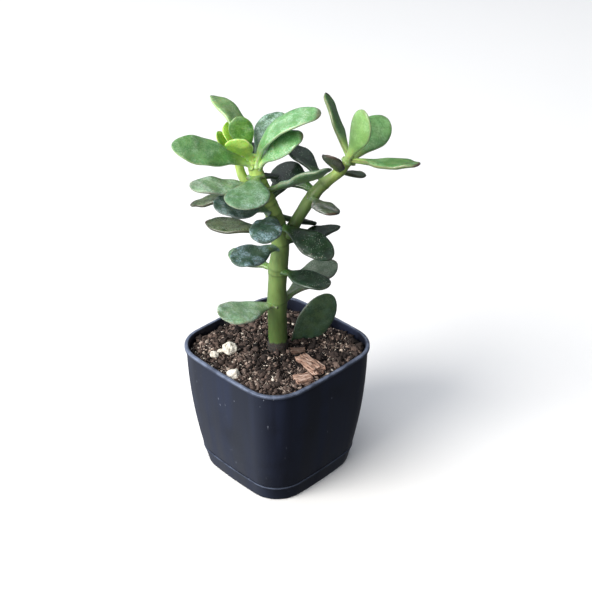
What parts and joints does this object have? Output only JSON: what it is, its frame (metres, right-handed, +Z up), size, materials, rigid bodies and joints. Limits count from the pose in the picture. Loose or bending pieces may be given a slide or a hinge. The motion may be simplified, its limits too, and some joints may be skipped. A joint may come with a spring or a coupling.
{
  "type": "potted jade plant",
  "caption": "Young jade plant with a forked green stem and thick oval leaves, in gritty soil in a square plastic pot with a flush drip tray.",
  "frame": {"origin": "centre of the drip tray's flat underside, which the plant stands on", "axes": "+Z up; the pot's flat sides face X and Y; the stem forks in the upright plane that runs from the -X -Y corner to the +X +Y corner, and the taller, fuller head is on the -X -Y side"},
  "size_m": [0.1153, 0.1107, 0.2296],
  "materials": {
    "pot_plastic": "satin dark blue-grey injection-moulded plastic",
    "soil_mix": "crumbly brown-black potting mix with pale grit",
    "stem_skin": "smooth green succulent stem with faint leaf-scar rings",
    "old_leaf": "thick dark green leaf with a grey-blue bloom and a thin reddish margin",
    "new_leaf": "thick bright green leaf with a waxy gloss",
    "pumice": "rough cream pumice",
    "bark": "fibrous red-brown bark"
  },
  "bodies": {
    "root": {"bark_chip_1": "bark", "bark_chip_2": "bark", "bark_chip_3": "bark", "branch_leaf_1_left": "old_leaf", "branch_leaf_1_right": "old_leaf", "branch_leaf_2_left": "old_leaf", "branch_leaf_3_left": "old_leaf", "branch_leaf_3_right": "old_leaf", "crown_leaf_1_left": "new_leaf", "crown_leaf_1_right": "new_leaf", "crown_leaf_2_left": "new_leaf", "crown_leaf_2_right": "new_leaf", "crown_leaf_3_back": "new_leaf", "crown_leaf_4_back": "new_leaf", "crown_leaf_4_front": "new_leaf", "drip_tray": "pot_plastic", "leaf_cutting": "old_leaf", "main_stem": "stem_skin", "pot": "pot_plastic", "pumice_1": "pumice", "pumice_2": "pumice", "pumice_3": "pumice", "pumice_4": "pumice", "right_branch": "stem_skin", "shoot_leaf_back": "new_leaf", "shoot_leaf_left": "new_leaf", "side_shoot": "stem_skin", "soil": "soil_mix", "stem_leaf_1_left": "old_leaf", "stem_leaf_1_right": "old_leaf", "stem_leaf_2_left": "old_leaf", "stem_leaf_2_right": "old_leaf", "stem_leaf_3_left": "old_leaf", "stem_leaf_3_right": "old_leaf", "stem_leaf_4_left": "old_leaf", "stem_leaf_4_right": "old_leaf", "stem_leaf_5_back": "old_leaf", "stem_leaf_5_front": "old_leaf", "stem_leaf_6_left": "old_leaf", "stem_leaf_6_right": "old_leaf", "stem_leaf_7_left": "old_leaf", "stem_leaf_7_right": "old_leaf", "stem_leaf_8_left": "old_leaf", "stem_leaf_8_right": "old_leaf", "stem_leaf_9_back": "old_leaf", "stem_leaf_9_front": "old_leaf", "tip_leaf_1_left": "new_leaf", "tip_leaf_1_right": "new_leaf", "tip_leaf_2_back": "new_leaf", "tip_leaf_2_front": "new_leaf"}
  },
  "joints": []
}
